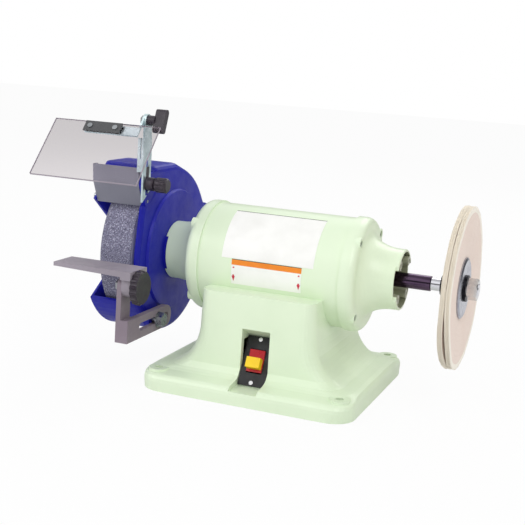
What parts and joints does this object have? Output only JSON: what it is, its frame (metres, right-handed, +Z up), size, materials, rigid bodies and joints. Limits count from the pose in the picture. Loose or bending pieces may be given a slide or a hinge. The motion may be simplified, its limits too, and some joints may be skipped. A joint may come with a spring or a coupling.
{
  "type": "bench grinder",
  "caption": "Bench grinder and buffer on a flared cast base, with a guarded grinding wheel, eye shield and tool rest at one end and a cloth buff at the other.",
  "frame": {"origin": "centre of the bench bolt holes, on the underside of the base", "axes": "+X along the spindle towards the buff, +Y away from the operator, +Z up"},
  "size_m": [0.535, 0.3191, 0.3473],
  "materials": {
    "casting_paint": "semi-gloss enamel over a cast or rolled surface",
    "guard_paint": "glossy enamel over sand-cast metal",
    "plate_film": "plain printed film without words",
    "spindle_steel": "ground and darkened steel",
    "bright_steel": "nickel-plated",
    "flange_steel": "turned steel",
    "screw_steel": "zinc-plated",
    "dark_steel": "black oxide",
    "abrasive": "vitrified abrasive grain",
    "buff_cloth": "stitched cotton layers",
    "knob_plastic": "moulded black plastic",
    "switch_black": "moulded black plastic",
    "rocker_red": "moulded red plastic",
    "key_yellow": "moulded yellow plastic",
    "zinc_sheet": "zinc-plated sheet",
    "deflector_paint": "hammered grey paint",
    "strip_paint": "hammered dark paint",
    "rest_casting": "painted casting with a ground top",
    "bracket_casting": "plain casting",
    "clear_plastic": "clear polycarbonate sheet",
    "lamination": "stacked electrical sheet",
    "copper": "varnished copper wire",
    "cast_aluminium": "die-cast",
    "bearing_steel": "ground bearing steel",
    "cover_sheet": "galvanised sheet"
  },
  "bodies": {
    "stand": {"base_casting": "casting_paint", "bottom_cover": "cover_sheet", "bottom_cover_screws": "screw_steel", "motor_bolts": "screw_steel", "motor_shell": "casting_paint", "stator_core": "lamination", "stator_windings": "copper", "left_end_bell": "casting_paint", "right_end_bell": "casting_paint", "through_bolts": "dark_steel", "bearing_outer_rings": "bearing_steel", "capacitor": "switch_black", "capacitor_clamp": "zinc_sheet", "cord_bushing": "switch_black", "switch_housing": "switch_black", "switch_plate": "switch_black", "switch_screws": "bright_steel", "rating_plate": "plate_film", "notice_plate": "plate_film", "inner_guard": "guard_paint", "guard_mount_screws": "screw_steel", "outer_guard_cover": "guard_paint", "guard_cover_screws": "screw_steel", "deflector_screws": "screw_steel", "arm_stud": "screw_steel", "arm_guide": "knob_plastic", "arm_spacer": "knob_plastic", "rest_arm_bolt": "screw_steel"},
    "rotor": {"spindle": "spindle_steel", "rotor_core": "lamination", "rotor_end_rings": "cast_aluminium", "bearing_inner_rings": "bearing_steel", "bearing_balls": "bearing_steel", "inner_wheel_flange": "flange_steel", "grinding_wheel": "abrasive", "outer_wheel_flange": "flange_steel", "wheel_nut": "bright_steel", "buff_inner_nut": "dark_steel", "buff_inner_flange": "flange_steel", "buff_inner_section": "buff_cloth", "buff_outer_section": "buff_cloth", "buff_outer_flange": "flange_steel", "buff_washer": "dark_steel", "buff_nut": "bright_steel"},
    "rocker": {"switch_rocker": "rocker_red"},
    "key": {"safety_key": "key_yellow"},
    "deflector": {"spark_deflector": "deflector_paint"},
    "shield_arm": {"shield_arm": "zinc_sheet", "shield_stud": "screw_steel"},
    "eye_shield": {"shield_bracket": "zinc_sheet", "eye_shield": "clear_plastic", "shield_strip": "strip_paint", "shield_rivets": "screw_steel"},
    "arm_knob": {"arm_knob": "knob_plastic"},
    "wing_knob": {"wing_knob": "knob_plastic"},
    "rest_bracket": {"rest_bracket": "bracket_casting", "rest_stud": "screw_steel"},
    "tool_rest": {"tool_rest": "rest_casting", "rest_washer": "bright_steel"},
    "rest_knob": {"rest_knob": "knob_plastic"}
  },
  "joints": [
    {"name": "spindle_turn", "type": "hinge", "parent": "stand", "child": "rotor", "pos_m": [0, 0, 0.156], "axis": [1, 0, 0], "continuous": true},
    {"name": "rocker_tip", "type": "hinge", "parent": "stand", "child": "rocker", "pos_m": [0.003, -0.08853, 0.04489], "axis": [1, 0, 0], "range_deg": [0, 12]},
    {"name": "key_pull", "type": "slide", "parent": "rocker", "child": "key", "axis": [0, -0.8829, 0.4695], "range_m": [0, 0.014]},
    {"name": "deflector_slide", "type": "slide", "parent": "stand", "child": "deflector", "axis": [0, 0.434, -0.9009], "range_m": [-0.002, 0.006]},
    {"name": "shield_height", "type": "slide", "parent": "stand", "child": "shield_arm", "axis": [0, 0, 1], "range_m": [-0.01, 0.01]},
    {"name": "shield_tilt", "type": "hinge", "parent": "shield_arm", "child": "eye_shield", "pos_m": [-0.1615, -0.096, 0.3325], "axis": [1, 0, 0], "range_deg": [-50, 15]},
    {"name": "wing_knob_turn", "type": "hinge", "parent": "shield_arm", "child": "wing_knob", "pos_m": [-0.145, -0.096, 0.3325], "axis": [1, 0, 0], "continuous": true},
    {"name": "arm_knob_turn", "type": "hinge", "parent": "stand", "child": "arm_knob", "pos_m": [-0.14, -0.093, 0.253], "axis": [1, 0, 0], "continuous": true},
    {"name": "rest_reach", "type": "slide", "parent": "stand", "child": "rest_bracket", "axis": [0, 1, 0], "range_m": [-0.023, 0.002]},
    {"name": "rest_tilt", "type": "hinge", "parent": "rest_bracket", "child": "tool_rest", "pos_m": [-0.153, -0.138, 0.129], "axis": [1, 0, 0], "range_deg": [-6, 15]},
    {"name": "rest_knob_turn", "type": "hinge", "parent": "rest_bracket", "child": "rest_knob", "pos_m": [-0.14, -0.138, 0.129], "axis": [1, 0, 0], "continuous": true}
  ]
}
